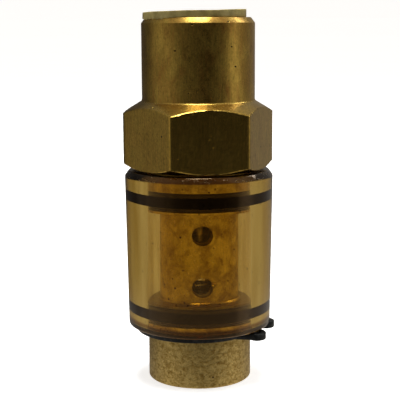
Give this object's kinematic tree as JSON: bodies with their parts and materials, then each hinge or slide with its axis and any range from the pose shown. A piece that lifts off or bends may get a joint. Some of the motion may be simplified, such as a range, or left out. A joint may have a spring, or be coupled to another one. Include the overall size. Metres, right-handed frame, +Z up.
{
  "type": "sight glass diverter valve",
  "caption": "Turned brass in-line valve with a hexagon head, threaded ports, a sprung spool and a clear amber sleeve round a cross-drilled stem.",
  "frame": {"origin": "centre of the tail's bottom face, on the valve's axis", "axes": "+Z up the axis towards the inlet port; the cross-holes' front mouths face -Y; the retaining ring's lugs face +X"},
  "size_m": [0.0277, 0.0272, 0.0678],
  "materials": {
    "body_brass": "turned and brushed, dull",
    "inner_brass": "turned, bright",
    "amber_sleeve": "clear moulded amber plastic",
    "seal_rubber": "black moulded",
    "disc_rubber": "black moulded",
    "black_spring_steel": "black phosphated",
    "spring_steel": "drawn wire and strip",
    "stainless_steel": "turned and stamped",
    "stainless_gauze": "woven wire",
    "washer_nylon": "translucent ivory nylon"
  },
  "bodies": {
    "housing": {"valve_body": "body_brass", "upper_sleeve_seal": "seal_rubber", "lower_sleeve_seal": "seal_rubber", "sleeve_circlip": "black_spring_steel", "port_washer": "washer_nylon", "strainer_rim": "inner_brass", "strainer_gauze": "stainless_gauze", "strainer_ring": "spring_steel", "seat_insert": "inner_brass", "seat_insert_seal": "seal_rubber", "seat_ring": "spring_steel", "return_spring": "spring_steel"},
    "sleeve": {"sight_sleeve": "amber_sleeve"},
    "spool": {"diverter_spool": "inner_brass", "spool_seal": "seal_rubber", "valve_disc": "disc_rubber", "disc_washer": "stainless_steel", "disc_screw": "stainless_steel"},
    "spring_carrier": {"spring_seat": "stainless_steel"},
    "adjuster": {"adjusting_screw": "inner_brass", "screw_lock_pad": "washer_nylon"}
  },
  "joints": [
    {"name": "sleeve_swivel", "type": "hinge", "parent": "housing", "child": "sleeve", "pos_m": [0, 0, 0.0247], "axis": [0, 0, 1], "continuous": true},
    {"name": "spool_slide", "type": "slide", "parent": "housing", "child": "spool", "axis": [0, 0, -1], "range_m": [0, 0.002], "stiffness_N_per_m": 1500, "springref_m": -0.003, "deforming": ["return_spring"]},
    {"name": "adjuster_travel", "type": "slide", "parent": "housing", "child": "spring_carrier", "axis": [0, 0, 1], "range_m": [-0.0005, 0.002]},
    {"name": "adjuster_turn", "type": "hinge", "parent": "spring_carrier", "child": "adjuster", "pos_m": [0, 0, 0.0108], "axis": [0, 0, 1], "range_deg": [-180, 720]}
  ],
  "couplings": [
    {"joint": "adjuster_turn", "follows": "adjuster_travel", "rad_per_m": 6283.2}
  ]
}
